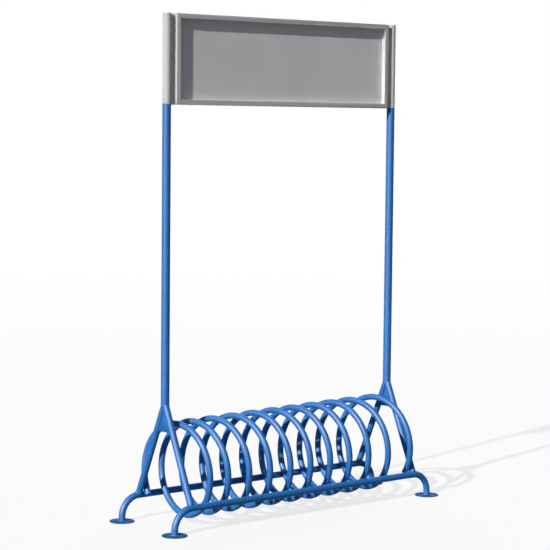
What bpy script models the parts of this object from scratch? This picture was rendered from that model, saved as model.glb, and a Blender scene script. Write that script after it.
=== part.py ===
"""Spiral bicycle rack with a sign carried on two tall poles.

X runs along the rack, Y points to its rear and Z points up. The origin is on the ground, midway
between the four feet. All sizes are in metres.

One long tube is rolled into a helix that lies on two rails, and wheels go in between its turns.
The rails bend down at both ends onto round foot plates. At each end two raking legs rise from the
rails, lean together and carry a short post, on which a tall pole stands. Grey tubes carry on above
the poles, with the sign between.
"""
import math

import bmesh
import bpy
import numpy as np

# Clear gap left between pieces that are welded or rest on each other
GAP = 0.0003

# Tubes
POLE_RADIUS = 0.0212
POLE_WALL = 0.0026
RAIL_RADIUS = 0.01685
LEG_RADIUS = 0.01685
SPIRAL_TUBE_RADIUS = 0.0160

# Overall arrangement
POLE_SPACING = 1.490
OVERALL_HEIGHT = 2.500
FRAME_TOP = 0.600
POST_LENGTH = 0.145

# Spiral: its centre-line radius at mid length, and how much it opens with each turn to the right
SPIRAL_RADIUS = 0.232
SPIRAL_GROWTH = 0.0008
SPIRAL_WHOLE_TURNS = 10
# How far each end of the spiral runs on past the rail that it is welded to
SPIRAL_END_DEG = 4.0
# Angle below the horizontal, seen from the spiral's axis, at which a rail touches the spiral
SADDLE_DEG = 35.7
GROUND_CLEARANCE = 0.030
# The turns are pushed a little to the left of even spacing, all but the ones at either end
SPIRAL_PUSH = 0.033
SPIRAL_PUSH_TURNS = 1.5

# Rails and feet
RAIL_STUB = 0.018
FOOT_RADIUS = 0.062
FOOT_THICKNESS = 0.005
FOOT_CHAMFER = 0.001

# Gusset plate between the two legs of an end frame
GUSSET_HEIGHT = 0.135
GUSSET_THICKNESS = 0.005
GUSSET_TIP_WIDTH = 0.004

# Sign
SIGN_HEIGHT = 0.440
SIGN_DEPTH = 0.050
SIGN_BAR_WIDTH = 0.025
SIGN_SIDE_GAP = 0.0218
SIGN_EDGE_RADIUS = 0.0012
BOARD_THICKNESS = 0.002
LUG_HEIGHT = 0.045
LUG_THICKNESS = 0.005
LUG_EDGE_RADIUS = 0.0008
LUG_INSET = 0.002

# Sleeves inside the joints of the upright tubes
SPIGOT_LENGTH = 0.160
SPIGOT_WALL = 0.003

# Joint between a pole and the grey tube above it
JOINT_RISE = 0.004
SCREW_HEIGHT = 0.020
SCREW_RADIUS = 0.003
SCREW_STAND_OUT = 0.001
SOCKET_RADIUS = 0.0017
SOCKET_DEPTH = 0.0015

# Cap that closes a grey tube
CAP_THICKNESS = 0.003
CAP_CHAMFER = 0.001
CAP_STEM_LENGTH = 0.012

# How finely round shapes are divided
SPIRAL_POINTS_PER_TURN = 28
SPIRAL_TUBE_BEVEL = 4
RAIL_BEVEL = 6
BEND_STEPS = 9
ROUND_STEPS = 32
FOOT_STEPS = 40
SCREW_STEPS = 16
SMOOTH_ANGLE = math.radians(35)
WELD_DISTANCE = 0.00001
MERGE_DISTANCE = 0.0001

# Sizes that follow from the ones above
SADDLE = math.radians(SADDLE_DEG)
CONTACT = SPIRAL_TUBE_RADIUS + RAIL_RADIUS + GAP
RAIL_OFFSET = (SPIRAL_RADIUS + CONTACT) * math.cos(SADDLE)
RAIL_DROP = (SPIRAL_RADIUS + CONTACT) * math.sin(SADDLE)
RAIL_HEIGHT = GROUND_CLEARANCE + SPIRAL_RADIUS + SPIRAL_TUBE_RADIUS - RAIL_DROP
BEND_RADIUS = RAIL_HEIGHT - FOOT_THICKNESS - RAIL_STUB
POLE_X = POLE_SPACING / 2
FOOT_X = POLE_X + BEND_RADIUS
SPIRAL_START = -(SADDLE_DEG + SPIRAL_END_DEG) / 360
SPIRAL_END = SPIRAL_WHOLE_TURNS + 0.5 - SPIRAL_START
SPIRAL_HALF_LENGTH = POLE_X - LEG_RADIUS - SPIRAL_TUBE_RADIUS - GAP
SIGN_WIDTH = POLE_SPACING - 2 * (POLE_RADIUS + SIGN_SIDE_GAP)
SIGN_BOTTOM = OVERALL_HEIGHT - SIGN_HEIGHT
POST_TOP = FRAME_TOP + POST_LENGTH
JOINT_HEIGHT = SIGN_BOTTOM + JOINT_RISE
POLE_BORE = POLE_RADIUS - POLE_WALL
SPIGOT_RADIUS = POLE_BORE - GAP
SIDE_TUBE_TOP = OVERALL_HEIGHT - CAP_THICKNESS - GAP
LEG_TOP_OFFSET = POLE_RADIUS - LEG_RADIUS

SIDES = {"left": -1, "right": 1}
FACES = {"front": -1, "rear": 1}

# Colour (linear), roughness and metallic value of each finish
FINISHES = {
    "blue_paint": ((0.006, 0.136, 0.405), 0.55, 0.0),
    "light_grey_paint": ((0.560, 0.555, 0.550), 0.50, 0.0),
    "board_grey_paint": ((0.720, 0.715, 0.720), 0.55, 0.0),
    "dark_screw_steel": ((0.080, 0.080, 0.085), 0.40, 1.0),
    "bare_steel": ((0.450, 0.450, 0.460), 0.40, 1.0),
    "grey_plastic": ((0.480, 0.480, 0.470), 0.55, 0.0),
}


def clear_scene():
    for obj in list(bpy.data.objects):
        bpy.data.objects.remove(obj, do_unlink=True)


def new_collection(name):
    collection = bpy.data.collections.new(name)
    bpy.context.scene.collection.children.link(collection)
    return collection


def finish(name):
    """Returns the named material, making it the first time."""
    material = bpy.data.materials.get(name)
    if material:
        return material
    colour, roughness, metallic = FINISHES[name]
    material = bpy.data.materials.new(name)
    material.use_nodes = True
    shader = material.node_tree.nodes["Principled BSDF"]
    shader.inputs["Base Color"].default_value = (*colour, 1.0)
    shader.inputs["Roughness"].default_value = roughness
    shader.inputs["Metallic"].default_value = metallic
    return material


def place(obj, location=(0, 0, 0), rotation=(0, 0, 0), parent=None):
    obj.location = location
    obj.rotation_euler = rotation
    obj.parent = parent
    return obj


def group(name, location=(0, 0, 0), parent=None):
    """An empty that carries the pieces of one sub-assembly."""
    empty = bpy.data.objects.new(name, None)
    RACK.objects.link(empty)
    return place(empty, location, parent=parent)


def settle(obj):
    """Replaces an object and its modifiers by a plain mesh, with its round faces shaded smooth."""
    bpy.context.view_layer.update()
    depsgraph = bpy.context.evaluated_depsgraph_get()
    mesh = bpy.data.meshes.new_from_object(obj.evaluated_get(depsgraph))
    work = bmesh.new()
    work.from_mesh(mesh)
    bmesh.ops.remove_doubles(work, verts=work.verts, dist=WELD_DISTANCE)
    work.to_mesh(mesh)
    work.free()
    mesh.shade_smooth()
    mesh.set_sharp_from_angle(angle=SMOOTH_ANGLE)
    name, parent, matrix = obj.name, obj.parent, obj.matrix_world.copy()
    material = obj.data.materials[0]
    bpy.data.objects.remove(obj, do_unlink=True)
    solid = bpy.data.objects.new(name, mesh)
    RACK.objects.link(solid)
    mesh.materials.clear()
    mesh.materials.append(material)
    solid.parent = parent
    solid.matrix_world = matrix
    return solid


def swept_tube(name, points, radius, bevel, material, parent):
    """A round bar that follows a list of points, with its ends closed."""
    curve = bpy.data.curves.new(name, "CURVE")
    curve.dimensions = "3D"
    curve.bevel_depth = radius
    curve.bevel_resolution = bevel
    curve.use_fill_caps = True
    spline = curve.splines.new("POLY")
    spline.points.add(len(points) - 1)
    for slot, point in zip(spline.points, points):
        slot.co = (*point, 1.0)
    curve.materials.append(finish(material))
    obj = bpy.data.objects.new(name, curve)
    RACK.objects.link(obj)
    return settle(place(obj, parent=parent))


def turned(name, profile, steps, material, closed=False, **placing):
    """Turns a profile of (radius, height) points round Z; a closed one makes a hollow shape."""
    mesh = bpy.data.meshes.new(name)
    edges = [(i, i + 1) for i in range(len(profile) - 1)]
    if closed:
        edges.append((len(profile) - 1, 0))
    mesh.from_pydata([(radius, 0, height) for radius, height in profile], edges, [])
    mesh.materials.append(finish(material))
    obj = bpy.data.objects.new(name, mesh)
    RACK.objects.link(obj)
    screw = obj.modifiers.new("turn", "SCREW")
    screw.steps = steps
    screw.render_steps = steps
    screw.use_merge_vertices = True
    screw.merge_threshold = MERGE_DISTANCE
    return place(obj, **placing)


def hollow_profile(outer, inner, bottom, top):
    return [(outer, top), (outer, bottom), (inner, bottom), (inner, top)]


def cylinder(name, radius, length, steps, collection):
    """A closed cylinder on Z with its lower end at its origin."""
    mesh = bpy.data.meshes.new(name)
    work = bmesh.new()
    bmesh.ops.create_cone(work, cap_ends=True, segments=steps, radius1=radius, radius2=radius, depth=length)
    bmesh.ops.translate(work, verts=work.verts, vec=(0, 0, length / 2))
    work.to_mesh(mesh)
    work.free()
    obj = bpy.data.objects.new(name, mesh)
    collection.objects.link(obj)
    return obj


def block(name, size, collection):
    """A box of the given size, centred on its origin."""
    mesh = bpy.data.meshes.new(name)
    work = bmesh.new()
    bmesh.ops.create_cube(work, size=1)
    bmesh.ops.scale(work, verts=work.verts, vec=size)
    work.to_mesh(mesh)
    work.free()
    obj = bpy.data.objects.new(name, mesh)
    collection.objects.link(obj)
    return obj


def flat_plate(name, outline, thickness, edge_radius, material, **placing):
    """A plate cut to an outline in its own XY plane, centred on that plane."""
    curve = bpy.data.curves.new(name, "CURVE")
    curve.dimensions = "2D"
    curve.fill_mode = "BOTH"
    curve.extrude = thickness / 2
    spline = curve.splines.new("POLY")
    spline.points.add(len(outline) - 1)
    for slot, (x, y) in zip(spline.points, outline):
        slot.co = (x, y, 0, 1.0)
    spline.use_cyclic_u = True
    curve.materials.append(finish(material))
    obj = bpy.data.objects.new(name, curve)
    RACK.objects.link(obj)
    settled = settle(place(obj, **placing))
    if edge_radius:
        round_edges(settled, edge_radius)
    return settled


def round_edges(obj, radius):
    bevel = obj.modifiers.new("rounded edges", "BEVEL")
    bevel.width = radius
    bevel.segments = 2
    bevel.limit_method = "ANGLE"


def cut(obj, cutter):
    """Cuts a piece with a solid that stays in the file as a wire guide."""
    cutter.hide_render = True
    cutter.display_type = "WIRE"
    boolean = obj.modifiers.new(cutter.name, "BOOLEAN")
    boolean.operation = "DIFFERENCE"
    boolean.solver = "EXACT"
    boolean.object = cutter


def fade(share):
    """Rises smoothly from 0 to 1 as share goes from 0 to 1."""
    share = min(max(share, 0.0), 1.0)
    return share * share * (3 - 2 * share)


def spiral_point(turn):
    """A point on the spiral's centre line; turn 0 is at the rear, level with the spiral's axis."""
    radius = SPIRAL_RADIUS + SPIRAL_GROWTH * (turn - (SPIRAL_START + SPIRAL_END) / 2)
    axis_height = RAIL_HEIGHT + math.sqrt((radius + CONTACT) ** 2 - RAIL_OFFSET ** 2)
    share = (turn - SPIRAL_START) / (SPIRAL_END - SPIRAL_START)
    pushed = fade((turn - SPIRAL_START) / SPIRAL_PUSH_TURNS) * fade((SPIRAL_END - turn) / SPIRAL_PUSH_TURNS)
    x = SPIRAL_HALF_LENGTH * (2 * share - 1) - SPIRAL_PUSH * pushed
    angle = 2 * math.pi * turn
    return x, radius * math.cos(angle), axis_height + radius * math.sin(angle)


def least_gap_between_turns(points):
    """Clear distance between turns, measured on points that lie half a turn or more apart."""
    path = np.array(points)
    apart = SPIRAL_POINTS_PER_TURN // 2
    nearest = [np.linalg.norm(path[i + apart:] - path[i], axis=1).min() for i in range(len(path) - apart)]
    return min(nearest) - 2 * SPIRAL_TUBE_RADIUS


def make_spiral(parent):
    """The helix that holds the wheels, one unbroken tube from the rear rail to the front rail."""
    count = round((SPIRAL_END - SPIRAL_START) * SPIRAL_POINTS_PER_TURN)
    turns = [SPIRAL_START + (SPIRAL_END - SPIRAL_START) * i / count for i in range(count + 1)]
    points = [spiral_point(turn) for turn in turns]
    swept_tube("spiral_tube", points, SPIRAL_TUBE_RADIUS, SPIRAL_TUBE_BEVEL, "blue_paint", parent)
    print("least gap between turns of the spiral, in mm:", round(1000 * least_gap_between_turns(points), 1))


def rail_path(y):
    """Half of a rail, from the middle down to the foot, mirrored about the middle."""
    lower_end = (FOOT_X, y, FOOT_THICKNESS + GAP)
    bend = []
    for i in range(BEND_STEPS + 1):
        angle = math.pi / 2 * i / BEND_STEPS
        height = RAIL_HEIGHT - BEND_RADIUS * (1 - math.cos(angle))
        bend.append((POLE_X + BEND_RADIUS * math.sin(angle), y, height))
    half = bend + [lower_end]
    return [(-x, y, z) for x, y, z in reversed(half)] + half


def make_rail(face, parent):
    points = rail_path(FACES[face] * RAIL_OFFSET)
    swept_tube(face + "_rail", points, RAIL_RADIUS, RAIL_BEVEL, "blue_paint", parent)


def make_foot(face, side, parent):
    rim = FOOT_RADIUS - FOOT_CHAMFER
    shoulder = FOOT_THICKNESS - FOOT_CHAMFER
    profile = [(0, FOOT_THICKNESS), (rim, FOOT_THICKNESS), (FOOT_RADIUS, shoulder), (FOOT_RADIUS, 0), (0, 0)]
    location = (SIDES[side] * FOOT_X, FACES[face] * RAIL_OFFSET, 0)
    name = f"foot_plate_{side}_{face}"
    settle(turned(name, profile, FOOT_STEPS, "blue_paint", location=location, parent=parent))


def leg_lean():
    """Angle of a leg from the vertical, and its length from the rail's axis to the post's foot."""
    run = RAIL_OFFSET - LEG_TOP_OFFSET
    rise = FRAME_TOP - RAIL_HEIGHT
    return math.atan2(run, rise), math.hypot(run, rise)


def make_leg(face, side, parent):
    """A raking leg: coped onto its rail, mitred against the other leg and cut level at the post."""
    direction = FACES[face]
    lean, length = leg_lean()
    name = f"leg_{side}_{face}"
    leg = cylinder(name, LEG_RADIUS, length + 2 * LEG_RADIUS, ROUND_STEPS, RACK)
    leg.data.materials.append(finish("blue_paint"))
    place(leg, (0, direction * RAIL_OFFSET, RAIL_HEIGHT), (direction * lean, 0, 0), parent)

    cope = cylinder(name + "_cope", RAIL_RADIUS + GAP, 6 * LEG_RADIUS, ROUND_STEPS, CUTTERS)
    place(cope, (-3 * LEG_RADIUS, direction * RAIL_OFFSET, RAIL_HEIGHT), (0, math.pi / 2, 0), parent)
    below = block(name + "_below", (6 * LEG_RADIUS, 6 * LEG_RADIUS, 6 * LEG_RADIUS), CUTTERS)
    place(below, (0, direction * RAIL_OFFSET, RAIL_HEIGHT - 3 * LEG_RADIUS), parent=parent)
    mitre_size = 12 * LEG_RADIUS
    mitre = block(name + "_mitre", (mitre_size, mitre_size, mitre_size), CUTTERS)
    place(mitre, (0, -direction * (mitre_size / 2 - GAP / 2), FRAME_TOP), parent=parent)
    level = block(name + "_level", (mitre_size, mitre_size, mitre_size), CUTTERS)
    place(level, (0, 0, FRAME_TOP + mitre_size / 2), parent=parent)
    for cutter in (below, cope, mitre, level):
        cut(leg, cutter)
    settle(leg)


def make_gusset(side, parent):
    """The plate that ties the two legs together below the post."""
    lean, _ = leg_lean()
    clear_of_axis = (LEG_RADIUS + GAP) / math.cos(lean)

    def half_width(height):
        return LEG_TOP_OFFSET + (FRAME_TOP - height) * math.tan(lean) - clear_of_axis

    bottom = FRAME_TOP - GUSSET_HEIGHT
    top = FRAME_TOP - (clear_of_axis + GUSSET_TIP_WIDTH / 2 - LEG_TOP_OFFSET) / math.tan(lean)
    foot, tip = half_width(bottom), half_width(top)
    outline = [(-foot, bottom), (foot, bottom), (tip, top), (-tip, top)]
    upright = (math.pi / 2, 0, math.pi / 2)
    flat_plate("gusset_" + side, outline, GUSSET_THICKNESS, 0, "blue_paint", rotation=upright, parent=parent)


def make_upright(name, bottom, top, parent):
    """A blue tube that stands on the legs or on another tube."""
    profile = hollow_profile(POLE_RADIUS, POLE_BORE, bottom + GAP, top)
    settle(turned(name, profile, ROUND_STEPS, "blue_paint", closed=True, parent=parent))


def make_spigot(name, joint, parent):
    """The inner sleeve that lines up two tubes that meet at the height of a joint."""
    half = SPIGOT_LENGTH / 2
    profile = hollow_profile(SPIGOT_RADIUS, SPIGOT_RADIUS - SPIGOT_WALL, joint - half, joint + half)
    settle(turned(name, profile, ROUND_STEPS, "bare_steel", closed=True, parent=parent))


def make_side_tube(side, parent):
    """The grey tube that carries on above a pole, drilled on its outer side for the set screw."""
    out = SIDES[side]
    profile = hollow_profile(POLE_RADIUS, POLE_BORE, JOINT_HEIGHT + GAP, SIDE_TUBE_TOP)
    name = "side_tube_" + side
    tube = turned(name, profile, ROUND_STEPS, "light_grey_paint", closed=True, parent=parent)
    drill = cylinder(name + "_drill", SCREW_RADIUS + GAP, 2 * POLE_RADIUS, SCREW_STEPS, CUTTERS)
    place(drill, (0, 0, JOINT_HEIGHT + SCREW_HEIGHT), (0, out * math.pi / 2, 0), parent)
    cut(tube, drill)
    settle(tube)


def make_set_screw(side, parent):
    """A grub screw through the grey tube, just off the spigot that it clamps."""
    out = SIDES[side]
    length = POLE_RADIUS + SCREW_STAND_OUT - SPIGOT_RADIUS - GAP
    name = "set_screw_" + side
    screw = cylinder(name, SCREW_RADIUS, length, SCREW_STEPS, RACK)
    screw.data.materials.append(finish("dark_screw_steel"))
    seat = (out * (SPIGOT_RADIUS + GAP), 0, JOINT_HEIGHT + SCREW_HEIGHT)
    place(screw, seat, (0, out * math.pi / 2, 0), parent)
    socket = cylinder(name + "_socket", SOCKET_RADIUS, 2 * SOCKET_DEPTH, 6, CUTTERS)
    mouth = (out * (POLE_RADIUS + SCREW_STAND_OUT - SOCKET_DEPTH), 0, JOINT_HEIGHT + SCREW_HEIGHT)
    place(socket, mouth, (0, out * math.pi / 2, 0), parent)
    cut(screw, socket)
    settle(screw)


def make_cap(side, parent):
    """The plug that closes the top of a grey tube."""
    under = OVERALL_HEIGHT - CAP_THICKNESS
    profile = [
        (0, OVERALL_HEIGHT),
        (POLE_RADIUS - CAP_CHAMFER, OVERALL_HEIGHT),
        (POLE_RADIUS, OVERALL_HEIGHT - CAP_CHAMFER),
        (POLE_RADIUS, under),
        (SPIGOT_RADIUS, under),
        (SPIGOT_RADIUS, under - CAP_STEM_LENGTH),
        (0, under - CAP_STEM_LENGTH),
    ]
    settle(turned("tube_cap_" + side, profile, ROUND_STEPS, "grey_plastic", parent=parent))


def make_lug(side, level, height, parent):
    """A flat lug that holds the sign frame off the grey tube."""
    out = SIDES[side]
    length = SIGN_SIDE_GAP - 2 * GAP
    lug = block(f"sign_lug_{side}_{level}", (length, LUG_THICKNESS, LUG_HEIGHT), RACK)
    lug.data.materials.append(finish("light_grey_paint"))
    place(lug, (-out * (POLE_RADIUS + SIGN_SIDE_GAP / 2), 0, height), parent=parent)
    round_edges(lug, LUG_EDGE_RADIUS)


def make_end_frame(side, parent):
    """One end of the rack: two legs, their gusset, the post, the pole and what stands on it."""
    frame = group(side + "_end_frame", (SIDES[side] * POLE_X, 0, 0), parent)
    for face in FACES:
        make_leg(face, side, frame)
    make_gusset(side, frame)
    make_upright("post_" + side, FRAME_TOP, POST_TOP, frame)
    make_upright("pole_" + side, POST_TOP, JOINT_HEIGHT, frame)
    make_spigot("post_spigot_" + side, POST_TOP, frame)
    make_spigot("spigot_" + side, JOINT_HEIGHT, frame)
    make_side_tube(side, frame)
    make_set_screw(side, frame)
    make_cap(side, frame)
    make_lug(side, "lower", JOINT_HEIGHT + LUG_INSET + LUG_HEIGHT / 2, frame)
    make_lug(side, "upper", OVERALL_HEIGHT - CAP_THICKNESS - LUG_INSET - LUG_HEIGHT / 2, frame)


def make_sign(parent):
    """A frame of four mitred bars round a flat board, with a recess on both faces."""
    sign = group("sign", (0, 0, SIGN_BOTTOM + SIGN_HEIGHT / 2), parent)
    upright = (math.pi / 2, 0, 0)
    half_width, half_height = SIGN_WIDTH / 2, SIGN_HEIGHT / 2
    inner_width, inner_height = half_width - SIGN_BAR_WIDTH, half_height - SIGN_BAR_WIDTH
    mitre = GAP * math.sqrt(2)
    for name, up in (("sign_bar_top", 1), ("sign_bar_bottom", -1)):
        outline = [
            (mitre - half_width, up * half_height),
            (half_width - mitre, up * half_height),
            (inner_width - mitre, up * inner_height),
            (mitre - inner_width, up * inner_height),
        ]
        flat_plate(name, outline, SIGN_DEPTH, SIGN_EDGE_RADIUS, "light_grey_paint", rotation=upright, parent=sign)
    for side, out in SIDES.items():
        outline = [
            (out * half_width, half_height),
            (out * half_width, -half_height),
            (out * inner_width, -inner_height),
            (out * inner_width, inner_height),
        ]
        name = "sign_bar_" + side
        flat_plate(name, outline, SIGN_DEPTH, SIGN_EDGE_RADIUS, "light_grey_paint", rotation=upright, parent=sign)
    board_size = (2 * (inner_width - GAP), BOARD_THICKNESS, 2 * (inner_height - GAP))
    board = block("sign_board", board_size, RACK)
    board.data.materials.append(finish("board_grey_paint"))
    place(board, parent=sign)


clear_scene()
RACK = new_collection("bike_rack")
CUTTERS = new_collection("cutters")
rack = group("rack")
make_spiral(rack)
for rail_face in FACES:
    make_rail(rail_face, rack)
    for foot_side in SIDES:
        make_foot(rail_face, foot_side, rack)
for frame_side in SIDES:
    make_end_frame(frame_side, rack)
make_sign(rack)
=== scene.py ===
"""Looks of the spiral bicycle rack: fine tubes, weld beads, paint, floor, light and camera.

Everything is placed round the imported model. X runs along the rack, Y points to its rear and Z
points up. The origin is on the ground in the middle, and all sizes are in metres.
"""
import math

import bmesh
import bpy
import numpy as np
from mathutils import Matrix, Vector


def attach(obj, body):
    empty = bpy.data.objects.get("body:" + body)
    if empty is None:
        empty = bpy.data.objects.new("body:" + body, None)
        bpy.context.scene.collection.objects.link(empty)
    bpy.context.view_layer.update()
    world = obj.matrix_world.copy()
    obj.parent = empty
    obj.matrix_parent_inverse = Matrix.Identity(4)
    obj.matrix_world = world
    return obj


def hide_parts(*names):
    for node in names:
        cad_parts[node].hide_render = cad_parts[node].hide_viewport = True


# Sizes of the rack, the same as in its solids
GAP = 0.0003
POLE_RADIUS = 0.0212
POLE_WALL = 0.0026
RAIL_RADIUS = 0.01685
LEG_RADIUS = 0.01685
SPIRAL_TUBE_RADIUS = 0.0160
POLE_SPACING = 1.490
OVERALL_HEIGHT = 2.500
FRAME_TOP = 0.600
POST_LENGTH = 0.145
SPIRAL_RADIUS = 0.232
SPIRAL_GROWTH = 0.0008
SPIRAL_WHOLE_TURNS = 10
SPIRAL_END_DEG = 4.0
SADDLE_DEG = 35.7
GROUND_CLEARANCE = 0.030
SPIRAL_PUSH = 0.033
SPIRAL_PUSH_TURNS = 1.5
RAIL_STUB = 0.018
FOOT_RADIUS = 0.062
FOOT_THICKNESS = 0.005
GUSSET_HEIGHT = 0.135
GUSSET_THICKNESS = 0.005
GUSSET_TIP_WIDTH = 0.004
SIGN_HEIGHT = 0.440
SIGN_DEPTH = 0.050
SIGN_BAR_WIDTH = 0.025
SIGN_SIDE_GAP = 0.0218
LUG_HEIGHT = 0.045
LUG_THICKNESS = 0.005
LUG_INSET = 0.002
JOINT_RISE = 0.004
SCREW_HEIGHT = 0.020
SCREW_RADIUS = 0.003
SCREW_STAND_OUT = 0.001
SOCKET_RADIUS = 0.0017
SOCKET_DEPTH = 0.0015
CAP_THICKNESS = 0.003
CAP_STEM_LENGTH = 0.012
LUG_EDGE = 0.0008

# Edges, corners and a groove that the solids don't have, or have with another size
TUBE_EDGE = 0.0005
TUBE_END_EDGE = 0.0012
JOINT_GROOVE = 0.0012
FOOT_EDGE = 0.0012
FOOT_UNDER_EDGE = 0.0006
GUSSET_EDGE = 0.0006
CAP_EDGE = 0.0012
SIGN_CORNER = 0.0022
SCREW_EDGE = 0.0005
# Innermost rings of round shapes, which flat faces close
CORE_RADIUS = 0.001
SCREW_CORE_RADIUS = 0.0005

# How finely the meshes are divided
SPIRAL_STEPS_PER_TURN = 96
TUBE_SIDES = 32
UPRIGHT_SIDES = 64
LEG_SIDES = 64
LEG_ROWS = (0.0, 0.02, 0.06, 0.2, 0.4, 0.6, 0.8, 0.94, 0.98, 1.0)
FOOT_SIDES = 96
SCREW_SIDES = 36
BEND_POINTS = 25
RAIL_POINTS = 30
SHARP_DEG = 35
GUSSET_SHARP_DEG = 50

# Sizes that follow from the ones above
SADDLE = math.radians(SADDLE_DEG)
CONTACT = SPIRAL_TUBE_RADIUS + RAIL_RADIUS + GAP
RAIL_OFFSET = (SPIRAL_RADIUS + CONTACT) * math.cos(SADDLE)
RAIL_DROP = (SPIRAL_RADIUS + CONTACT) * math.sin(SADDLE)
RAIL_HEIGHT = GROUND_CLEARANCE + SPIRAL_RADIUS + SPIRAL_TUBE_RADIUS - RAIL_DROP
BEND_RADIUS = RAIL_HEIGHT - FOOT_THICKNESS - RAIL_STUB
POLE_X = POLE_SPACING / 2
FOOT_X = POLE_X + BEND_RADIUS
SPIRAL_START = -(SADDLE_DEG + SPIRAL_END_DEG) / 360
SPIRAL_END = SPIRAL_WHOLE_TURNS + 0.5 - SPIRAL_START
SPIRAL_HALF_LENGTH = POLE_X - LEG_RADIUS - SPIRAL_TUBE_RADIUS - GAP
SIGN_WIDTH = POLE_SPACING - 2 * (POLE_RADIUS + SIGN_SIDE_GAP)
SIGN_BOTTOM = OVERALL_HEIGHT - SIGN_HEIGHT
POST_TOP = FRAME_TOP + POST_LENGTH
JOINT_HEIGHT = SIGN_BOTTOM + JOINT_RISE
LEG_TOP_OFFSET = POLE_RADIUS - LEG_RADIUS
LEAN = math.atan2(RAIL_OFFSET - LEG_TOP_OFFSET, FRAME_TOP - RAIL_HEIGHT)

# Weld beads: half their width, first the usual one
BEAD_RADIUS = 0.0028
SPIRAL_BEAD = 0.0026
FOOT_BEAD = 0.0034
LEG_BEAD = 0.0030
POST_BEAD = 0.0030
LUG_BEAD = 0.0020
MITRE_BEAD_START = 0.0026
MITRE_BEAD_END = 0.0048
# The length of one ripple, how far it swells the bead, and the spacing of the points
RIPPLE = 0.0032
RIPPLE_SWELL = 0.05
RIPPLE_SKEW = 0.5
BEAD_STEP = 0.0006
BEAD_SIDES = 8
# The slow change of the bead's width, and its width at a free end, as shares
BEAD_WANDER = 0.08
WANDER_POINTS = 7
BEAD_TIP = 0.12
# Points round a bead's path
CONTACT_BEAD_POINTS = 48
RING_BEAD_POINTS = 96
# How far a weld on the spiral reaches from the spot where the tubes touch
CONTACT_REACH = 0.0085

SIDES = {"left": -1, "right": 1}
FACES = {"front": -1, "rear": 1}

# The photograph's viewpoint
CAMERA_PLACE = (-6.3846, -7.4738, 1.9699)
CAMERA_YAW = math.radians(40.285)
CAMERA_PITCH = math.radians(-4.4591)
CAMERA_ROLL = math.radians(0.5644)
FOCAL_PIXELS = 1931.25
FRAME_PIXELS = 550
SENSOR_MM = 36.0
CAMERA_REACH = 200.0

# Light
SUN_DIRECTION = (0.839, 0.214, -0.500)
SUN_COLOUR = (1.0, 0.985, 0.955)
SUN_STRENGTH = 3.7
SUN_SPREAD = math.radians(0.8)
# A second lamp in the sun's direction, which only the gloss shows
GLOW_COLOUR = (1.0, 0.90, 0.97)
GLOW_STRENGTH = 36.0
GLOW_SPREAD = math.radians(1.5)
# A weak, broad lamp for the rear
BACK_DIRECTION = (-0.60, -0.72, -0.35)
BACK_COLOUR = (0.93, 0.96, 1.0)
BACK_STRENGTH = 1.3
BACK_SPREAD = math.radians(50)
FILL_COLOUR = (0.79, 0.84, 1.0)
# The studio's light and what gloss shows of it, level with the rack and straight above it
FILL_LOW = 0.16
FILL_HIGH = 0.29
BACKDROP_LEVEL = 1.0
BACKDROP_LOW = (1.0, 1.0, 1.0)
BACKDROP_HIGH = (0.20, 0.26, 0.36)
BACKDROP_FADE = (0.15, 0.75)
FLOOR_HALF = 60.0
FLOOR_ROUGHNESS = 0.9
FLOOR_SPECULAR = 0.1
FLOOR_SEEN = 0.85
FLOOR_BOUNCE = 0.05
# Share of plain white in the floor that is seen, near the rack and far from it
FLOOR_GLOW_NEAR = 0.75
FLOOR_GLOW_FAR = 1.0
FLOOR_FADE = (4.0, 16.0)

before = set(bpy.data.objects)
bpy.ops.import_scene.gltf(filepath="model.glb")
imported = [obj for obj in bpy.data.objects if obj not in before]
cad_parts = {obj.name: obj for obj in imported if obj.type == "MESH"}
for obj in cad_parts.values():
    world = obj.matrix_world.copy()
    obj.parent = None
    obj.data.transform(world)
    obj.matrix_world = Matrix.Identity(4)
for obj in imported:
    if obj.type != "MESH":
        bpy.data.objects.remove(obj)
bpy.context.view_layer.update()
chance = np.random.default_rng(7)


# Materials

BLUE_COLOUR = (0.005, 0.146, 0.452)
# The feet's blue is a darker copy of the blue paint: painted shade on the foot plates, not a different paint
FOOT_PAINTED_SHADE_COLOUR = (0.003, 0.086, 0.270)
GREY_COLOUR = (0.560, 0.555, 0.550)
BOARD_COLOUR = (0.720, 0.715, 0.720)
PLUG_COLOUR = (0.480, 0.480, 0.470)
BARE_STEEL_COLOUR = (0.45, 0.45, 0.46)
DARK_STEEL_COLOUR = (0.06, 0.06, 0.065)
DUST_COLOUR = (0.34, 0.32, 0.29)
PRIMER_COLOUR = (0.40, 0.41, 0.43)
# The paint wears where the surface turns within this width, more where this cosine is low
WORN_WIDTH = 0.004
WORN_TURN = (0.88, 0.985)
# Dirt that rain throws up from the ground
SPLASH_HEIGHT = 0.09
SPLASH = 0.02
# Noise: scale, detail and, where it isn't the usual one, roughness
TONE_NOISE = (3.0, 3.0)
FLAKE_NOISE = (110.0, 6.0, 0.7)
PATCH_NOISE = (28.0, 5.0, 0.65)
GLOSS_NOISE = (14.0, 4.0)
PEEL_NOISE = (420.0, 2.0)
GRAIN_NOISE = (300.0, 4.0)
# The part of the noise that is spread over the whole effect
NOISE_SPAN = (0.3, 0.7)
FLAKE_SPAN = (0.46, 0.58)
PATCH_SPAN = (0.35, 0.7)
PATCH_LEAST = 0.2
# How far a surface has to face up to be dusty
DUSTY_TURN = (0.45, 1.0)
# How far the paint's roughness goes below and above its mean, and the depth of its peel
GLOSSIER = 0.05
DULLER = 0.06
PEEL_DEPTH = 0.0003
# The darker grains of steel, and how much rougher the roughest are
STEEL_SHADE = 0.8
STEEL_DULLER = 0.15


def new_material(name):
    material = bpy.data.materials.new(name)
    material.use_nodes = True
    nodes, links = material.node_tree.nodes, material.node_tree.links
    return material, nodes, links, nodes["Principled BSDF"]


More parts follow.
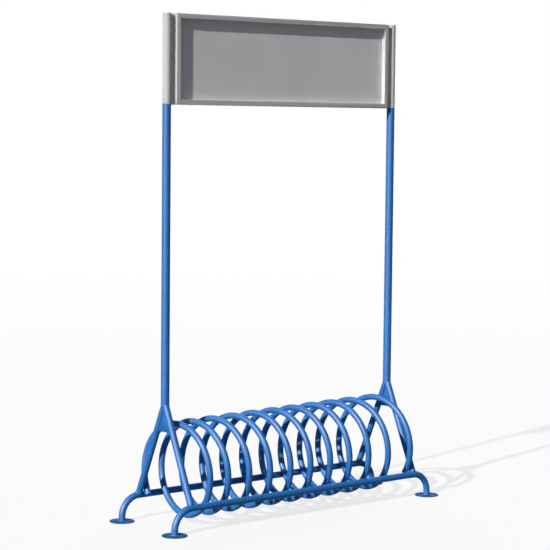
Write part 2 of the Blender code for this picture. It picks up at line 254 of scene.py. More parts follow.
def noise(nodes, links, coords, scale, detail=2.0, roughness=0.5):
    texture = nodes.new("ShaderNodeTexNoise")
    texture.inputs["Scale"].default_value = scale
    texture.inputs["Detail"].default_value = detail
    texture.inputs["Roughness"].default_value = roughness
    links.new(coords, texture.inputs["Vector"])
    return texture.outputs["Fac"]


def remap(nodes, links, value, low, high, to_low, to_high):
    node = nodes.new("ShaderNodeMapRange")
    node.inputs["From Min"].default_value = low
    node.inputs["From Max"].default_value = high
    node.inputs["To Min"].default_value = to_low
    node.inputs["To Max"].default_value = to_high
    links.new(value, node.inputs["Value"])
    return node.outputs["Result"]


def times(nodes, links, first, second):
    node = nodes.new("ShaderNodeMath")
    node.operation = "MULTIPLY"
    links.new(first, node.inputs[0])
    links.new(second, node.inputs[1])
    return node.outputs[0]


def blend_colours(nodes, links, share, first, second):
    node = nodes.new("ShaderNodeMix")
    node.data_type = "RGBA"
    links.new(share, node.inputs["Factor"])
    for value, socket in ((first, node.inputs["A"]), (second, node.inputs["B"])):
        if isinstance(value, tuple):
            socket.default_value = (*value, 1.0)
        else:
            links.new(value, socket)
    return node.outputs["Result"]


def shade_of(colour, factor):
    return tuple(min(1.0, channel * factor) for channel in colour)


def height_of(nodes, links, vector):
    split = nodes.new("ShaderNodeSeparateXYZ")
    links.new(vector, split.inputs[0])
    return split.outputs["Z"]


def paint(name, colour, roughness, tint, peel, dust, specular=0.5, wear=0.0):
    """Powder coat: slow changes of tone, orange peel, worn edges, and dust on what faces up or is low."""
    material, nodes, links, shader = new_material(name)
    coords = nodes.new("ShaderNodeTexCoord").outputs["Object"]
    geometry = nodes.new("ShaderNodeNewGeometry")
    slow = noise(nodes, links, coords, *TONE_NOISE)
    tone = remap(nodes, links, slow, *NOISE_SPAN, 0.0, 1.0)
    base = blend_colours(nodes, links, tone, shade_of(colour, 1 - tint), shade_of(colour, 1 + tint))

    if wear:
        bevel = nodes.new("ShaderNodeBevel")
        bevel.inputs["Radius"].default_value = WORN_WIDTH
        turned = nodes.new("ShaderNodeVectorMath")
        turned.operation = "DOT_PRODUCT"
        links.new(bevel.outputs["Normal"], turned.inputs[0])
        links.new(geometry.outputs["Normal"], turned.inputs[1])
        edges = remap(nodes, links, turned.outputs["Value"], *WORN_TURN, 1.0, 0.0)
        flakes = remap(nodes, links, noise(nodes, links, coords, *FLAKE_NOISE), *FLAKE_SPAN, 0.0, wear)
        base = blend_colours(nodes, links, times(nodes, links, edges, flakes), base, PRIMER_COLOUR)

    patches = remap(nodes, links, noise(nodes, links, coords, *PATCH_NOISE), *PATCH_SPAN, PATCH_LEAST, 1.0)
    upward = remap(nodes, links, height_of(nodes, links, geometry.outputs["Normal"]), *DUSTY_TURN, 0.0, dust)
    dusty = blend_colours(nodes, links, times(nodes, links, upward, patches), base, DUST_COLOUR)
    low = remap(nodes, links, height_of(nodes, links, coords), 0.0, SPLASH_HEIGHT, SPLASH, 0.0)
    splashed = blend_colours(nodes, links, times(nodes, links, low, patches), dusty, DUST_COLOUR)
    links.new(splashed, shader.inputs["Base Color"])

    gloss = noise(nodes, links, coords, *GLOSS_NOISE)
    rough = remap(nodes, links, gloss, *NOISE_SPAN, roughness - GLOSSIER, roughness + DULLER)
    links.new(rough, shader.inputs["Roughness"])
    shader.inputs["Specular IOR Level"].default_value = specular

    bump = nodes.new("ShaderNodeBump")
    bump.inputs["Strength"].default_value = peel
    bump.inputs["Distance"].default_value = PEEL_DEPTH
    links.new(noise(nodes, links, coords, *PEEL_NOISE), bump.inputs["Height"])
    links.new(bump.outputs["Normal"], shader.inputs["Normal"])
    return material


def steel(name, colour, roughness):
    """Metal with fine scratches in its gloss and colour."""
    material, nodes, links, shader = new_material(name)
    coords = nodes.new("ShaderNodeTexCoord").outputs["Object"]
    grain = noise(nodes, links, coords, *GRAIN_NOISE)
    tone = remap(nodes, links, grain, *NOISE_SPAN, 0.0, 1.0)
    base = blend_colours(nodes, links, tone, shade_of(colour, STEEL_SHADE), colour)
    links.new(base, shader.inputs["Base Color"])
    rough = remap(nodes, links, grain, *NOISE_SPAN, roughness, roughness + STEEL_DULLER)
    links.new(rough, shader.inputs["Roughness"])
    shader.inputs["Metallic"].default_value = 1.0
    return material


BLUE_PAINT = {"roughness": 0.55, "tint": 0.07, "peel": 0.25, "dust": 0.014, "specular": 0.17}
BLUE = paint("blue_powder_coat", BLUE_COLOUR, **BLUE_PAINT)
WORN_BLUE = paint("blue_powder_coat_with_worn_edges", BLUE_COLOUR, **BLUE_PAINT, wear=0.6)
# Painted shade: the foot plates get the blue powder coat in a darker copy
FOOT_BLUE_WITH_PAINTED_SHADE = paint(
    "blue_powder_coat_of_the_feet_with_painted_shade", FOOT_PAINTED_SHADE_COLOUR,
    roughness=0.75, tint=0.06, peel=0.10, dust=0.01, specular=0.04, wear=0.3)
LIGHT_GREY = paint(
    "light_grey_powder_coat", GREY_COLOUR,
    roughness=0.58, tint=0.04, peel=0.20, dust=0.06, specular=0.045, wear=0.6)
BOARD_GREY = paint(
    "board_coating", BOARD_COLOUR, roughness=0.58, tint=0.03, peel=0.10, dust=0.03, specular=0.15)
PLUG_GREY = paint("plug_plastic", PLUG_COLOUR, roughness=0.55, tint=0.03, peel=0.15, dust=0.15)
BARE_STEEL = steel("bare_steel", BARE_STEEL_COLOUR, 0.35)
DARK_STEEL = steel("blackened_steel", DARK_STEEL_COLOUR, 0.40)


# Meshes

class Shape:
    """Points and faces that are gathered piece by piece and then made into one object."""

    def __init__(self):
        self.points = []
        self.faces = []

    def add(self, points, faces):
        start = len(self.points)
        self.points.extend(tuple(float(value) for value in point) for point in points)
        self.faces.extend(tuple(start + corner for corner in face) for face in faces)

    def build(self, name, material, slot, replaces=(), sharp_deg=SHARP_DEG):
        mesh = bpy.data.meshes.new(name)
        mesh.from_pydata(self.points, [], self.faces)
        work = bmesh.new()
        work.from_mesh(mesh)
        bmesh.ops.recalc_face_normals(work, faces=work.faces)
        work.to_mesh(mesh)
        work.free()
        mesh.materials.append(material)
        mesh.shade_smooth()
        mesh.set_sharp_from_angle(angle=math.radians(sharp_deg))
        obj = bpy.data.objects.new(name, mesh)
        bpy.context.scene.collection.objects.link(obj)
        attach(obj, "root")
        if replaces:
            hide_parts(*replaces)
        return obj


def ring_faces(rings, sides, closed=False):
    """Quads between rings of points, each ring joined to the next."""
    last = rings if closed else rings - 1
    faces = []
    for i in range(last):
        a, b = i * sides, (i + 1) % rings * sides
        for j in range(sides):
            k = (j + 1) % sides
            faces.append((a + j, a + k, b + k, b + j))
    return faces


def end_faces(rings, sides):
    """The flat faces that close the first and the last ring."""
    return [tuple(reversed(range(sides))), tuple(range((rings - 1) * sides, rings * sides))]


def unit(vectors):
    return vectors / np.linalg.norm(vectors, axis=-1, keepdims=True)


def sweep(path, radii, sides, closed=False):
    """A round tube along a path. An open one gets flat ends."""
    path = np.asarray(path, float)
    radii = np.broadcast_to(np.asarray(radii, float), (len(path),)).copy()
    if closed:
        along = unit(np.roll(path, -1, 0) - np.roll(path, 1, 0))
        outward = path - path.mean(0)
    else:
        along = unit(np.gradient(path, axis=0))
        outward = carried_normals(along)
    first = unit(outward - along * (outward * along).sum(1, keepdims=True))
    second = np.cross(along, first)
    angles = 2 * np.pi * np.arange(sides) / sides
    cosines, sines = np.cos(angles)[None, :, None], np.sin(angles)[None, :, None]
    around = cosines * first[:, None, :] + sines * second[:, None, :]
    points = (path[:, None, :] + radii[:, None, None] * around).reshape(-1, 3)
    faces = ring_faces(len(path), sides, closed)
    if not closed:
        faces += end_faces(len(path), sides)
    return points, faces


def carried_normals(along):
    """Normals that are carried along a path without twisting."""
    nearly_upright = 0.1
    normal = np.cross(along[0], (0.0, 0.0, 1.0))
    if np.linalg.norm(normal) < nearly_upright:
        normal = np.cross(along[0], (0.0, 1.0, 0.0))
    normals = [normal / np.linalg.norm(normal)]
    for direction in along[1:]:
        normal = normals[-1] - direction * normals[-1].dot(direction)
        normals.append(normal / np.linalg.norm(normal))
    return np.array(normals)


def lathe(profile, steps, centre=(0.0, 0.0, 0.0)):
    """A shape turned round Z from (radius, height) points, with flat faces in its first and last ring."""
    angles = 2 * np.pi * np.arange(steps) / steps
    points = []
    for radius, height in profile:
        points.extend((radius * math.cos(a), radius * math.sin(a), height) for a in angles)
    faces = ring_faces(len(profile), steps) + end_faces(len(profile), steps)
    return np.array(points) + np.array(centre), faces


def rounded_corner(centre, radius, start_deg, end_deg, steps=4):
    """Points (radius, height) along a rounded corner of a profile."""
    angles = np.radians(np.linspace(start_deg, end_deg, steps + 1))
    return [(centre[0] + radius * math.cos(a), centre[1] + radius * math.sin(a)) for a in angles]


# Weld beads

def resampled(path, step, closed):
    """The same path with points at an even spacing."""
    path = np.asarray(path, float)
    if closed:
        path = np.vstack([path, path[:1]])
    lengths = np.concatenate([[0], np.cumsum(np.linalg.norm(np.diff(path, axis=0), axis=1))])
    fewest = 6
    count = max(fewest, round(lengths[-1] / step))
    marks = np.linspace(0, lengths[-1], count + 1)
    if closed:
        marks = marks[:-1]
    return np.stack([np.interp(marks, lengths, path[:, axis]) for axis in range(3)], axis=1), lengths[-1]


def bead(shape, path, radius=BEAD_RADIUS, closed=False, end_radius=None):
    """A weld bead with the ripples that the welder leaves, thinner where it starts and stops."""
    points, length = resampled(path, BEAD_STEP, closed)
    if end_radius:
        radius = np.linspace(radius, end_radius, len(points))
    ripples = max(1, round(length / RIPPLE))
    phase = 2 * np.pi * ripples * np.arange(len(points)) / len(points)
    knots = np.linspace(0, len(points), WANDER_POINTS)
    drawn = chance.uniform(-BEAD_WANDER, BEAD_WANDER, WANDER_POINTS)
    wander = np.interp(np.arange(len(points)), knots, drawn)
    if closed:
        wander = wander * np.sin(np.pi * np.arange(len(points)) / len(points))
    radii = radius * (1 + RIPPLE_SWELL * np.cos(phase + RIPPLE_SKEW * np.sin(phase)) + wander)
    if not closed:
        reach = np.minimum(np.arange(len(points)), np.arange(len(points))[::-1]) * BEAD_STEP / radius
        radii = radii * np.sqrt(np.clip(BEAD_TIP + reach, 0, 1))
    shape.add(*sweep(points, radii, BEAD_SIDES, closed))


WELDS = {side: Shape() for side in SIDES}
LUG_WELDS = {side: Shape() for side in SIDES}


# Spiral

def fade(share):
    share = np.clip(share, 0.0, 1.0)
    return share * share * (3 - 2 * share)


def spiral_point(turn):
    """A point on the spiral's centre line; turn 0 is at the rear, level with the spiral's axis."""
    radius = SPIRAL_RADIUS + SPIRAL_GROWTH * (turn - (SPIRAL_START + SPIRAL_END) / 2)
    axis_height = RAIL_HEIGHT + math.sqrt((radius + CONTACT) ** 2 - RAIL_OFFSET ** 2)
    share = (turn - SPIRAL_START) / (SPIRAL_END - SPIRAL_START)
    pushed = fade((turn - SPIRAL_START) / SPIRAL_PUSH_TURNS) * fade((SPIRAL_END - turn) / SPIRAL_PUSH_TURNS)
    x = SPIRAL_HALF_LENGTH * (2 * share - 1) - SPIRAL_PUSH * pushed
    angle = 2 * math.pi * turn
    return np.array((x, radius * math.cos(angle), axis_height + radius * math.sin(angle)))


def make_spiral():
    count = round((SPIRAL_END - SPIRAL_START) * SPIRAL_STEPS_PER_TURN)
    turns = list(np.linspace(SPIRAL_START, SPIRAL_END, count + 1))
    edge = TUBE_END_EDGE / (2 * math.pi * SPIRAL_RADIUS)
    turns = [turns[0], turns[0] + edge, *turns[1:-1], turns[-1] - edge, turns[-1]]
    radii = np.full(len(turns), SPIRAL_TUBE_RADIUS)
    radii[[0, -1]] -= TUBE_END_EDGE
    spiral = Shape()
    spiral.add(*sweep([spiral_point(turn) for turn in turns], radii, TUBE_SIDES))
    spiral.build("spiral", WORN_BLUE, "blue_paint", ("spiral_tube",))


def contact_bead(shape, turn, face):
    """The weld round the spot where the spiral lies on a rail, in the wedge between the tubes."""
    centre = spiral_point(turn)
    nearby = 0.002
    tangent = spiral_point(turn + nearby) - spiral_point(turn - nearby)
    rail = np.array((centre[0], face * RAIL_OFFSET, RAIL_HEIGHT))
    normal = unit(centre - rail)
    middle = rail + normal * (RAIL_RADIUS + GAP / 2)
    along_rail = np.array((1.0, 0.0, 0.0))
    across = np.cross(normal, along_rail)
    tangent = unit(tangent - normal * tangent.dot(normal))
    path = []
    for angle in np.linspace(0, 2 * math.pi, CONTACT_BEAD_POINTS, endpoint=False):
        out = math.cos(angle) * along_rail + math.sin(angle) * across
        off_rail = CONTACT_REACH * abs(math.sin(angle))
        off_spiral = CONTACT_REACH * np.linalg.norm(np.cross(out, tangent))
        fall = RAIL_RADIUS - math.sqrt(RAIL_RADIUS ** 2 - off_rail ** 2)
        rise = SPIRAL_TUBE_RADIUS - math.sqrt(SPIRAL_TUBE_RADIUS ** 2 - off_spiral ** 2)
        path.append(middle + CONTACT_REACH * out + normal * (rise - fall) / 2)
    bead(shape, path, SPIRAL_BEAD, closed=True)


def make_spiral_welds():
    for name, face in FACES.items():
        welds = Shape()
        for whole in range(SPIRAL_WHOLE_TURNS + 1):
            turn = whole - SADDLE_DEG / 360 if face > 0 else whole + 0.5 + SADDLE_DEG / 360
            contact_bead(welds, turn, face)
        welds.build(f"spiral_welds_{name}", BLUE, "blue_paint")


# Rails and feet

def make_rail(name, face):
    bend = []
    for angle in np.linspace(0, math.pi / 2, BEND_POINTS):
        height = RAIL_HEIGHT - BEND_RADIUS * (1 - math.cos(angle))
        bend.append((POLE_X + BEND_RADIUS * math.sin(angle), face * RAIL_OFFSET, height))
    straight = [(x, face * RAIL_OFFSET, RAIL_HEIGHT) for x in np.linspace(0, POLE_X, RAIL_POINTS)[1:-1]]
    half = straight + bend + [(FOOT_X, face * RAIL_OFFSET, FOOT_THICKNESS + GAP)]
    path = [(-x, y, z) for x, y, z in reversed(half)] + half
    rail = Shape()
    rail.add(*sweep(path, RAIL_RADIUS, TUBE_SIDES))
    rail.build(f"rail_{name}", BLUE, "blue_paint", (f"{name}_rail",))


def circle(centre, radius, steps=64):
    angles = 2 * np.pi * np.arange(steps) / steps
    return [(centre[0] + radius * math.cos(a), centre[1] + radius * math.sin(a), centre[2]) for a in angles]


def make_foot(side, face):
    out, back = SIDES[side], FACES[face]
    rim = 0.02
    profile = [(CORE_RADIUS, FOOT_THICKNESS), (FOOT_RADIUS - rim, FOOT_THICKNESS)]
    profile += rounded_corner((FOOT_RADIUS - FOOT_EDGE, FOOT_THICKNESS - FOOT_EDGE), FOOT_EDGE, 90, 0)
    profile += [(FOOT_RADIUS, FOOT_UNDER_EDGE), (FOOT_RADIUS - FOOT_UNDER_EDGE, 0.0), (CORE_RADIUS, 0.0)]
    foot = Shape()
    foot.add(*lathe(profile, FOOT_SIDES, (out * FOOT_X, back * RAIL_OFFSET, 0.0)))
    # The foot plate gets the darker copy of the blue paint, which is painted shade
    foot.build(f"foot_{side}_{face}", FOOT_BLUE_WITH_PAINTED_SHADE, "blue_paint", (f"foot_plate_{side}_{face}",))
    welds = Shape()
    rise, off_rail = 0.0006, 0.0008
    centre = (out * FOOT_X, back * RAIL_OFFSET, FOOT_THICKNESS + rise)
    bead(welds, circle(centre, RAIL_RADIUS + off_rail), FOOT_BEAD, closed=True)
    welds.build(f"foot_weld_{side}_{face}", BLUE, "blue_paint")


# End frames

def leg_frame(side, face):
    """The leg's foot on the rail's axis, the direction up along it, and two directions across it."""
    out, back = SIDES[side], FACES[face]
    foot = np.array((out * POLE_X, back * RAIL_OFFSET, RAIL_HEIGHT))
    up = np.array((0.0, -back * math.sin(LEAN), math.cos(LEAN)))
    across = np.array((1.0, 0.0, 0.0))
    return foot, up, across, np.cross(up, across)


def leg_start(angle):
    """How far up along the leg's axis its surface leaves the rail's surface."""
    side_step = LEG_RADIUS * math.sin(angle)
    return math.sqrt(max((RAIL_RADIUS + GAP) ** 2 - side_step ** 2, 0.0))


def leg_surface(side, face, angle, distance):
    foot, up, across, other = leg_frame(side, face)
    return foot + up * distance + LEG_RADIUS * (math.cos(angle) * across + math.sin(angle) * other)


def leg_end(side, face, angle):
    """How far up the leg its surface meets the other leg or the foot of the post."""
    back = FACES[face]
    start = leg_surface(side, face, angle, 0.0)
    to_top = (FRAME_TOP - start[2]) / math.cos(LEAN)
    to_middle = (start[1] - back * GAP / 2) / (back * math.sin(LEAN))
    return min(to_top, to_middle)


def make_leg(side, face):
    sides = LEG_SIDES
    angles = 2 * np.pi * np.arange(sides) / sides
    rows = []
    for share in LEG_ROWS:
        for angle in angles:
            low, high = leg_start(angle), leg_end(side, face, angle)
            rows.append(leg_surface(side, face, angle, low + (high - low) * share))
    foot, up, _, _ = leg_frame(side, face)
    bottom = foot + up * RAIL_RADIUS
    top = np.mean(rows[-sides:], axis=0)
    count = len(rows)
    faces = ring_faces(count // sides, sides)
    faces += [(count, (j + 1) % sides, j) for j in range(sides)]
    faces += [(count + 1, count - sides + j, count - sides + (j + 1) % sides) for j in range(sides)]
    leg = Shape()
    leg.add(rows + [bottom, top], faces)
    leg.build(f"raking_leg_{side}_{face}", BLUE, "blue_paint", (f"leg_{side}_{face}",))


def leg_foot_bead(shape, side, face):
    """The weld round the foot of a leg, sunk where the side of the leg runs flush into the rail."""
    stand_out, sink = 0.0004, 0.0022
    foot, up, _, _ = leg_frame(side, face)
    axis_point = foot + up * RAIL_RADIUS * 0.5
    path = []
    for angle in np.linspace(0, 2 * math.pi, RING_BEAD_POINTS, endpoint=False):
        point = leg_surface(side, face, angle, leg_start(angle))
        outward = unit(point - axis_point)
        path.append(point + outward * (stand_out - sink * math.sin(angle) ** 4))
    bead(shape, path, LEG_BEAD, closed=True)


def mitre_bead(shape, side, sign):
    """The weld that fills the valley between the two legs, down to the tip of the gusset."""
    start, end = MITRE_BEAD_START, MITRE_BEAD_END
    highest, past_tip = 0.001, 0.006
    stand_out = 0.3
    off_gusset = 0.0014
    lowest = gusset_tip_fall() + past_tip
    path = []
    for fall in np.linspace(highest, lowest, 40):
        reach = LEG_RADIUS + stand_out * (start + (end - start) * fall / lowest)
        offset = (LEG_TOP_OFFSET + fall * math.tan(LEAN)) * math.cos(LEAN)
        x = math.sqrt(max(reach ** 2 - offset ** 2, 0.0))
        x = max(x, GUSSET_THICKNESS / 2 + off_gusset)
        path.append((SIDES[side] * POLE_X + sign * x, 0.0, FRAME_TOP - fall))
    bead(shape, path, start, end_radius=end)


def post_foot_bead(shape, side):
    """The weld round the foot of the post, which bridges the small step to the legs."""
    inset_x, inset_y, sink = 0.0030, 0.0012, 0.0015
    path = []
    for angle in np.linspace(0, 2 * math.pi, RING_BEAD_POINTS, endpoint=False):
        x = (POLE_RADIUS - inset_x) * math.cos(angle)
        y = (POLE_RADIUS - inset_y) * math.sin(angle)
        path.append((SIDES[side] * POLE_X + x, y, FRAME_TOP - sink))
    bead(shape, path, POST_BEAD, closed=True)


def gusset_half_width(fall):
    clear = (LEG_RADIUS + GAP) / math.cos(LEAN)
    return LEG_TOP_OFFSET + fall * math.tan(LEAN) - clear


def gusset_tip_fall():
    clear = (LEG_RADIUS + GAP) / math.cos(LEAN)
    return (clear + GUSSET_TIP_WIDTH / 2 - LEG_TOP_OFFSET) / math.tan(LEAN)


def make_gusset(side):
    tip_fall = gusset_tip_fall()
    x = SIDES[side] * POLE_X
    half = GUSSET_THICKNESS / 2
    edge = GUSSET_EDGE
    plate = Shape()
    outline = [(-gusset_half_width(GUSSET_HEIGHT), FRAME_TOP - GUSSET_HEIGHT),
               (gusset_half_width(GUSSET_HEIGHT), FRAME_TOP - GUSSET_HEIGHT),
               (gusset_half_width(tip_fall), FRAME_TOP - tip_fall),
               (-gusset_half_width(tip_fall), FRAME_TOP - tip_fall)]
    middle = np.mean(outline, axis=0)
    rings = []
    for depth, inset in ((-half, edge), (-half + edge, 0.0), (half - edge, 0.0), (half, edge)):
        for y, z in outline:
            rise = edge if z < middle[1] else -edge
            rings.append((x + depth, y, z + (rise if inset else 0.0)))
    plate.add(rings, ring_faces(4, 4) + end_faces(4, 4))
    plate.build(f"gusset_plate_{side}", WORN_BLUE, "blue_paint", (f"gusset_{side}",), GUSSET_SHARP_DEG)
    from_tip, from_end = 0.004, 0.001
    past_edge, off_plate = 0.0006, 0.0004
    for sign in (-1, 1):
        for back in (-1, 1):
            path = []
            for fall in np.linspace(tip_fall + from_tip, GUSSET_HEIGHT - from_end, 12):
                y = back * (gusset_half_width(fall) + past_edge)
                path.append((x + sign * (half + off_plate), y, FRAME_TOP - fall))
            bead(WELDS[side], path)


def upright_tube(side, bottom, top, heights):
    """An upright tube with broken edges, and rings at the given heights."""
    profile = [(CORE_RADIUS, bottom), (POLE_RADIUS - TUBE_EDGE, bottom), (POLE_RADIUS, bottom + TUBE_EDGE)]
    profile += [(POLE_RADIUS, z) for z in heights]
    profile += [(POLE_RADIUS, top - TUBE_EDGE), (POLE_RADIUS - TUBE_EDGE, top), (CORE_RADIUS, top)]
    tube = Shape()
    tube.add(*lathe(profile, UPRIGHT_SIDES, (SIDES[side] * POLE_X, 0.0, 0.0)))
    return tube


def make_upright(name, side, bottom, top, node):
    inset = 0.01
    tube = upright_tube(side, bottom, top, np.linspace(bottom + inset, top - inset, 12))
    tube.build(name, BLUE, "blue_paint", (node,))


def make_end_frame(side):
    for face in FACES:
        make_leg(side, face)
        leg_foot_bead(WELDS[side], side, face)
    for sign in (-1, 1):
        mitre_bead(WELDS[side], side, sign)
    post_foot_bead(WELDS[side], side)
    make_gusset(side)
    half = JOINT_GROOVE / 2
    make_upright(f"short_post_{side}", side, FRAME_TOP + GAP, POST_TOP - half, f"post_{side}")
    make_upright(f"tall_pole_{side}", side, POST_TOP + half, JOINT_HEIGHT, f"pole_{side}")
    WELDS[side].build(f"end_frame_welds_{side}", BLUE, "blue_paint")


# Sign and what carries it

def apply_modifiers(obj):
    """Applies the object's modifiers to its mesh."""
    bpy.context.view_layer.update()
    depsgraph = bpy.context.evaluated_depsgraph_get()
    mesh = bpy.data.meshes.new_from_object(obj.evaluated_get(depsgraph))
    obj.modifiers.clear()
    obj.data = mesh


def make_side_tube(side):
    bottom, top = JOINT_HEIGHT + GAP, OVERALL_HEIGHT - CAP_THICKNESS - GAP
    screw = JOINT_HEIGHT + SCREW_HEIGHT
    near, far, inset = 0.008, 0.03, 0.01
    heights = [screw - near, screw + near] + list(np.linspace(screw + far, top - inset, 6))
    tube = upright_tube(side, bottom, top, heights)
    obj = tube.build(f"grey_tube_{side}", LIGHT_GREY, "light_grey_paint", (f"side_tube_{side}",))

    hole = bmesh.new()
    radius = SCREW_RADIUS + GAP
    bmesh.ops.create_cone(
        hole, cap_ends=True, segments=32, radius1=radius, radius2=radius, depth=2 * POLE_WALL)
    centre = Vector((SIDES[side] * (POLE_X + POLE_RADIUS), 0.0, screw))
    placed = Matrix.Translation(centre) @ Matrix.Rotation(math.pi / 2, 4, "Y")
    bmesh.ops.transform(hole, verts=hole.verts, matrix=placed)
    mesh = bpy.data.meshes.new("drill")
    hole.to_mesh(mesh)
    hole.free()
    drill = bpy.data.objects.new("drill", mesh)
    bpy.context.scene.collection.objects.link(drill)
    boolean = obj.modifiers.new("screw hole", "BOOLEAN")
    boolean.operation = "DIFFERENCE"
    boolean.solver = "EXACT"
    boolean.object = drill
    apply_modifiers(obj)
    bpy.data.objects.remove(drill, do_unlink=True)
    obj.data.shade_smooth()
    obj.data.set_sharp_from_angle(angle=math.radians(SHARP_DEG))


def make_set_screw(side):
    """A grub screw with a chamfered rim and a hexagonal socket."""
    out = SIDES[side]
    off_spigot = 0.0005
    length = POLE_WALL + SCREW_STAND_OUT - off_spigot
    steps = SCREW_SIDES
    angles = 2 * np.pi * np.arange(steps) / steps
    sector = math.pi / 3
    hexagon = [SOCKET_RADIUS * math.cos(sector / 2) / math.cos(a % sector - sector / 2) for a in angles]
    rims = [
        ([SCREW_CORE_RADIUS] * steps, 0.0),
        ([SCREW_RADIUS] * steps, 0.0),
        ([SCREW_RADIUS] * steps, length - SCREW_EDGE),
        ([SCREW_RADIUS - SCREW_EDGE] * steps, length),
        (hexagon, length),
        (hexagon, length - SOCKET_DEPTH),
        ([SCREW_CORE_RADIUS] * steps, length - SOCKET_DEPTH),
    ]
    inner = out * POLE_X + out * (POLE_RADIUS + SCREW_STAND_OUT - length)
    points = []
    for radii, height in rims:
        for radius, a in zip(radii, angles):
            z = JOINT_HEIGHT + SCREW_HEIGHT + radius * math.sin(a)
            points.append((inner + out * height, radius * math.cos(a), z))
    screw = Shape()
    screw.add(points, ring_faces(len(rims), steps) + end_faces(len(rims), steps))
    screw.build(f"grub_screw_{side}", DARK_STEEL, "dark_screw_steel", (f"set_screw_{side}",))


def make_cap(side):
    under = OVERALL_HEIGHT - CAP_THICKNESS
    lowest = under - CAP_STEM_LENGTH
    stem = POLE_RADIUS - POLE_WALL - GAP
    flat = POLE_RADIUS * 0.7
    profile = [(CORE_RADIUS, OVERALL_HEIGHT), (flat, OVERALL_HEIGHT)]
    profile += rounded_corner((POLE_RADIUS - CAP_EDGE, OVERALL_HEIGHT - CAP_EDGE), CAP_EDGE, 90, 0)
    profile += [(POLE_RADIUS, under), (stem, under), (stem, lowest), (CORE_RADIUS, lowest)]
    cap = Shape()
    cap.add(*lathe(profile, UPRIGHT_SIDES, (SIDES[side] * POLE_X, 0.0, 0.0)))
    cap.build(f"plug_{side}", PLUG_GREY, "grey_plastic", (f"tube_cap_{side}",))


def make_lug(side, level, height):
    out = SIDES[side]
    inner = out * (POLE_X - POLE_RADIUS - GAP)
    outer = out * (POLE_X - POLE_RADIUS - SIGN_SIDE_GAP + GAP)
    half_y, half_z, edge = LUG_THICKNESS / 2, LUG_HEIGHT / 2, LUG_EDGE
    section = []
    for (sy, sz), start in zip(((1, 1), (-1, 1), (-1, -1), (1, -1)), (0, 90, 180, 270)):
        section += rounded_corner((sy * (half_y - edge), sz * (half_z - edge)), edge, start, start + 90, 3)
    points = [(x, y, height + z) for x in (inner, outer) for y, z in section]
    lug = Shape()
    lug.add(points, ring_faces(2, len(section)) + end_faces(2, len(section)))
    lug.build(f"lug_{side}_{level}", LIGHT_GREY, "light_grey_paint", (f"sign_lug_{side}_{level}",))
    off_lug, off_tube, from_end = 0.0004, 0.0003, 0.002
    ends = (height - half_z + from_end, height + half_z - from_end)
    for face in (-1, 1):
        y = face * (half_y + off_lug)
        inset = math.sqrt(POLE_RADIUS ** 2 - y ** 2)
        for x in (out * (POLE_X - inset - off_tube), outer):
            bead(LUG_WELDS[side], [(x, y, z) for z in np.linspace(*ends, 12)], LUG_BEAD)


def make_sign_frame():
    """The four mitred bars of rectangular tube as one ring, with the tube's small outer radii."""
    radius = SIGN_CORNER
    half = SIGN_DEPTH / 2
    section = []
    corners = ((SIGN_BAR_WIDTH, half, 0), (0, half, 90), (0, -half, 180), (SIGN_BAR_WIDTH, -half, 270))
    for width, depth, start in corners:
        centre_w = width - radius if width else radius
        centre_d = depth - math.copysign(radius, depth)
        section += rounded_corner((centre_w, centre_d), radius, start, start + 90, 4)
    points = []
    middle = SIGN_BOTTOM + SIGN_HEIGHT / 2
    for inset, depth in section:
        w, h = SIGN_WIDTH / 2 - inset, SIGN_HEIGHT / 2 - inset
        points += [(w, depth, middle + h), (-w, depth, middle + h)]
        points += [(-w, depth, middle - h), (w, depth, middle - h)]
    faces = ring_faces(len(section), 4, closed=True)
    sign = Shape()
    sign.add(points, faces)
    bars = [f"sign_bar_{name}" for name in ("top", "bottom", "left", "right")]
    sign.build("sign_frame", LIGHT_GREY, "light_grey_paint", bars)


def give_material(node, material):
    """A new material for a solid that is shown as it is."""
    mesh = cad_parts[node].data
    mesh.materials.clear()
    mesh.materials.append(material)


def make_sign():
    make_sign_frame()
    give_material("sign_board", BOARD_GREY)
    for side in SIDES:
        make_side_tube(side)
        make_set_screw(side)
        make_cap(side)
        make_lug(side, "lower", JOINT_HEIGHT + LUG_INSET + LUG_HEIGHT / 2)
        make_lug(side, "upper", OVERALL_HEIGHT - CAP_THICKNESS - LUG_INSET - LUG_HEIGHT / 2)
        LUG_WELDS[side].build(f"lug_welds_{side}", LIGHT_GREY, "light_grey_paint")
        give_material(f"spigot_{side}", BARE_STEEL)
        give_material(f"post_spigot_{side}", DARK_STEEL)


# Floor, light and camera

def seen_directly(nodes, links):
    """1 for the rays that show the background: camera, glossy and transmission rays."""
    path = nodes.new("ShaderNodeLightPath")
    total = path.outputs["Is Camera Ray"]
    for name in ("Is Glossy Ray", "Is Transmission Ray"):
        largest = nodes.new("ShaderNodeMath")
        largest.operation = "MAXIMUM"
        links.new(total, largest.inputs[0])
        links.new(path.outputs[name], largest.inputs[1])
        total = largest.outputs[0]
    return total


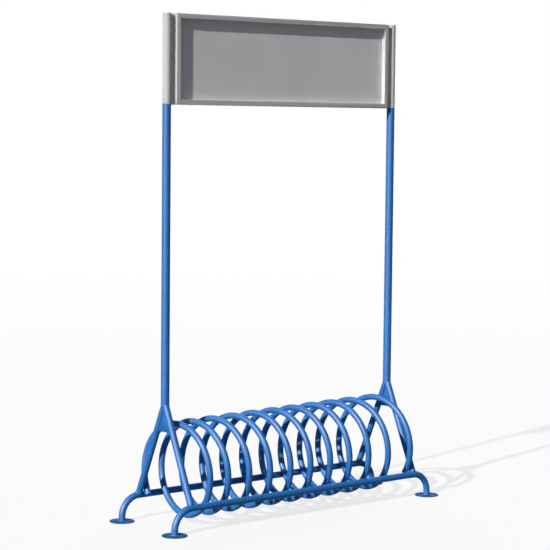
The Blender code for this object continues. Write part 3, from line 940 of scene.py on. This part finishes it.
def make_floor():
    mesh = bpy.data.meshes.new("floor")
    h = FLOOR_HALF
    mesh.from_pydata([(-h, -h, 0), (h, -h, 0), (h, h, 0), (-h, h, 0)], [], [(0, 1, 2, 3)])
    floor = bpy.data.objects.new("floor", mesh)
    bpy.context.scene.collection.objects.link(floor)
    material, nodes, links, shader = new_material("floor")
    seen = seen_directly(nodes, links)
    tone = blend_colours(nodes, links, seen, (FLOOR_BOUNCE,) * 3, (FLOOR_SEEN,) * 3)
    links.new(tone, shader.inputs["Base Color"])
    shader.inputs["Roughness"].default_value = FLOOR_ROUGHNESS
    shader.inputs["Specular IOR Level"].default_value = FLOOR_SPECULAR
    glow = nodes.new("ShaderNodeEmission")
    glow.inputs["Strength"].default_value = BACKDROP_LEVEL
    away = nodes.new("ShaderNodeVectorMath")
    away.operation = "LENGTH"
    links.new(nodes.new("ShaderNodeTexCoord").outputs["Object"], away.inputs[0])
    white = remap(nodes, links, away.outputs["Value"], *FLOOR_FADE, FLOOR_GLOW_NEAR, FLOOR_GLOW_FAR)
    mix = nodes.new("ShaderNodeMixShader")
    links.new(times(nodes, links, white, seen), mix.inputs["Fac"])
    links.new(shader.outputs[0], mix.inputs[1])
    links.new(glow.outputs[0], mix.inputs[2])
    links.new(mix.outputs[0], nodes["Material Output"].inputs["Surface"])
    mesh.materials.append(material)


def make_lamp(name, direction, colour, strength, spread):
    lamp = bpy.data.lights.new(name, "SUN")
    lamp.energy = strength
    lamp.angle = spread
    lamp.color = colour
    obj = bpy.data.objects.new(name, lamp)
    obj.rotation_euler = Vector(direction).to_track_quat("-Z", "Y").to_euler()
    bpy.context.scene.collection.objects.link(obj)
    return obj


def make_light():
    make_lamp("key", SUN_DIRECTION, SUN_COLOUR, SUN_STRENGTH, SUN_SPREAD)
    glow = make_lamp("glow", SUN_DIRECTION, GLOW_COLOUR, GLOW_STRENGTH, GLOW_SPREAD)
    glow.visible_diffuse = False
    make_lamp("back", BACK_DIRECTION, BACK_COLOUR, BACK_STRENGTH, BACK_SPREAD)

    world = bpy.data.worlds.new("studio")
    bpy.context.scene.world = world
    world.use_nodes = True
    nodes, links = world.node_tree.nodes, world.node_tree.links
    background = nodes["Background"]
    seen = seen_directly(nodes, links)
    rise = height_of(nodes, links, nodes.new("ShaderNodeTexCoord").outputs["Generated"])
    higher = remap(nodes, links, rise, 0.0, 1.0, 0.0, 1.0)
    fill = blend_colours(
        nodes, links, higher, shade_of(FILL_COLOUR, FILL_LOW), shade_of(FILL_COLOUR, FILL_HIGH))
    fade_up = remap(nodes, links, rise, *BACKDROP_FADE, 0.0, 1.0)
    backdrop = blend_colours(nodes, links, fade_up, BACKDROP_LOW, BACKDROP_HIGH)
    links.new(blend_colours(nodes, links, seen, fill, backdrop), background.inputs["Color"])
    background.inputs["Strength"].default_value = BACKDROP_LEVEL


def make_camera():
    forward = Vector((
        math.sin(CAMERA_YAW) * math.cos(CAMERA_PITCH),
        math.cos(CAMERA_YAW) * math.cos(CAMERA_PITCH),
        math.sin(CAMERA_PITCH),
    ))
    level = forward.cross(Vector((0, 0, 1))).normalized()
    upright = level.cross(forward)
    right = level * math.cos(CAMERA_ROLL) + upright * math.sin(CAMERA_ROLL)
    up = upright * math.cos(CAMERA_ROLL) - level * math.sin(CAMERA_ROLL)
    lens = bpy.data.cameras.new("camera")
    lens.sensor_width = SENSOR_MM
    lens.lens = FOCAL_PIXELS / FRAME_PIXELS * SENSOR_MM
    lens.clip_end = CAMERA_REACH
    camera = bpy.data.objects.new("camera", lens)
    bpy.context.scene.collection.objects.link(camera)
    turned = Matrix((right, up, -forward)).transposed().to_4x4()
    camera.matrix_world = Matrix.Translation(Vector(CAMERA_PLACE)) @ turned
    bpy.context.scene.camera = camera


make_camera()
make_light()
make_floor()
make_spiral()
make_spiral_welds()
for rail_name, rail_face in FACES.items():
    make_rail(rail_name, rail_face)
for foot_side in SIDES:
    for foot_face in FACES:
        make_foot(foot_side, foot_face)
    make_end_frame(foot_side)
make_sign()
bpy.context.scene.view_settings.view_transform = "Standard"
